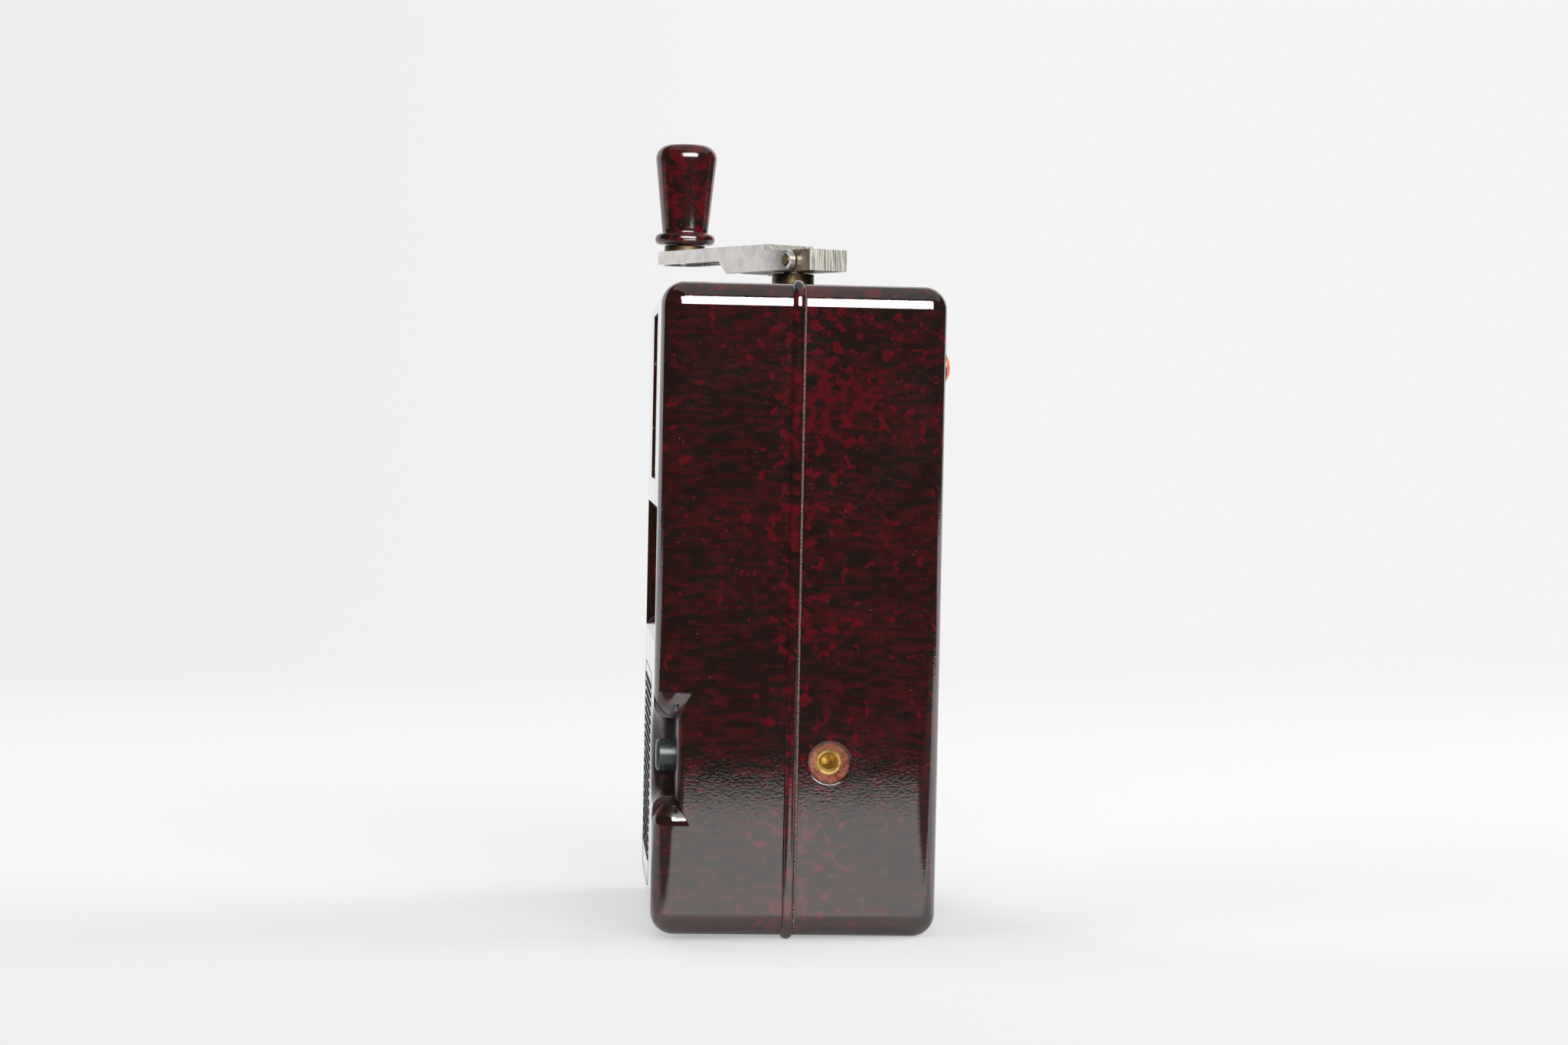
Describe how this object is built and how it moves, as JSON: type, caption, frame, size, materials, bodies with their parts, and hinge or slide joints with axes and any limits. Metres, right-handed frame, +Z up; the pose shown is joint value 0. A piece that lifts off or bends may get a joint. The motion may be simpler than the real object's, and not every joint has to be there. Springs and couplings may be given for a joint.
{
  "type": "insulation_tester",
  "caption": "Hand-cranked insulation tester in a two-part mottled moulded case, with a folding crank, window meter, push button in a finger scoop and side test sockets.",
  "frame": {"origin": "middle of the base in X, on the joint between the shells, at the plane the case stands on", "axes": "+Z up along the case, -Y out of the front face with the meter, +X out of the side with the finger scoop"},
  "size_m": [0.1107, 0.0765, 0.2156],
  "materials": {
    "bakelite": "polished phenolic moulding, near black with dark red mottling",
    "black_plastic": "polished black moulding",
    "gasket": "fibrous tan sheet",
    "wax": "orange-red sealing compound",
    "brass": "tarnished turned brass",
    "nickel": "worn bright nickel plate",
    "steel": "turned steel",
    "soft_iron": "plain ground iron",
    "magnet_paint": "red enamel on magnet steel",
    "copper": "enamelled copper",
    "glass": "clear flat glass",
    "dial": "aged ivory dial enamel",
    "pointer_black": "black lacquer on aluminium",
    "carbon": "pressed carbon",
    "board": "resin-bonded paper"
  },
  "bodies": {
    "case": {"front_shell": "bakelite", "rear_shell": "bakelite", "name_plate": "black_plastic", "contact_block": "black_plastic", "brush_gear": "black_plastic", "case_gasket": "gasket", "wax_seal": "wax", "seal_cup": "brass", "screw_inserts": "brass", "right_socket": "brass", "left_socket": "brass", "socket_nuts": "brass", "top_bush": "brass", "meter_frame": "brass", "core_bracket": "brass", "front_bridge": "brass", "rear_bridge": "brass", "contact_blades": "brass", "top_plate": "brass", "middle_plate": "brass", "bottom_plate": "brass", "hairsprings": "brass", "case_screws": "steel", "meter_screws": "steel", "jewel_screws": "steel", "button_spring": "steel", "plate_pillars": "steel", "chassis_screws": "steel", "glass_retainer": "steel", "meter_poles": "soft_iron", "meter_core": "soft_iron", "pole_shoes": "soft_iron", "meter_magnet": "magnet_paint", "field_magnet": "magnet_paint", "meter_glass": "glass", "scale_plate": "dial", "brushes": "carbon", "resistor_board": "board", "resistors": "board"},
    "crank": {"crank_shaft": "steel", "hub_bar": "nickel", "hub_pin": "steel", "hinge_pin": "steel", "drive_gear": "brass"},
    "arm": {"crank_arm": "nickel", "knob_spindle": "steel", "knob_ferrule": "brass"},
    "knob": {"crank_knob": "bakelite"},
    "idler": {"idler_arbor": "steel", "idler_pinion": "steel", "idler_wheel": "brass"},
    "armature": {"armature_shaft": "steel", "armature_core": "soft_iron", "armature_winding": "copper", "commutator": "copper", "armature_pinion": "steel"},
    "button": {"push_button": "black_plastic"},
    "movement": {"moving_coil": "copper", "coil_staffs": "steel", "pointer": "pointer_black"}
  },
  "joints": [
    {"name": "crank_spin", "type": "hinge", "parent": "case", "child": "crank", "pos_m": [0, 0, 0.1797], "axis": [0, 0, 1], "continuous": true},
    {"name": "crank_fold", "type": "hinge", "parent": "crank", "child": "arm", "pos_m": [0.007, 0.00388, 0.1797], "axis": [-0.4848, 0.8746, 0], "range_deg": [0, 180]},
    {"name": "knob_spin", "type": "hinge", "parent": "arm", "child": "knob", "pos_m": [-0.05073, -0.02812, 0.2], "axis": [0, 0, 1], "continuous": true},
    {"name": "idler_spin", "type": "hinge", "parent": "case", "child": "idler", "pos_m": [0.02324, 0.006, 0.145], "axis": [0, 0, 1], "continuous": true},
    {"name": "armature_spin", "type": "hinge", "parent": "case", "child": "armature", "pos_m": [0, 0.012, 0.11], "axis": [0, 0, 1], "continuous": true},
    {"name": "button_press", "type": "slide", "parent": "case", "child": "button", "axis": [0, 1, 0], "range_m": [0, 0.003], "stiffness_N_per_m": 400, "springref_m": -0.002, "deforming": ["button_spring"]},
    {"name": "pointer_swing", "type": "hinge", "parent": "case", "child": "movement", "pos_m": [0, -0.0312, 0.0697], "axis": [0, 1, 0], "range_deg": [0, 84], "stiffness_Nm_per_rad": 0.0004}
  ],
  "couplings": [
    {"joint": "idler_spin", "follows": "crank_spin", "ratio": -3},
    {"joint": "armature_spin", "follows": "crank_spin", "ratio": 12}
  ]
}
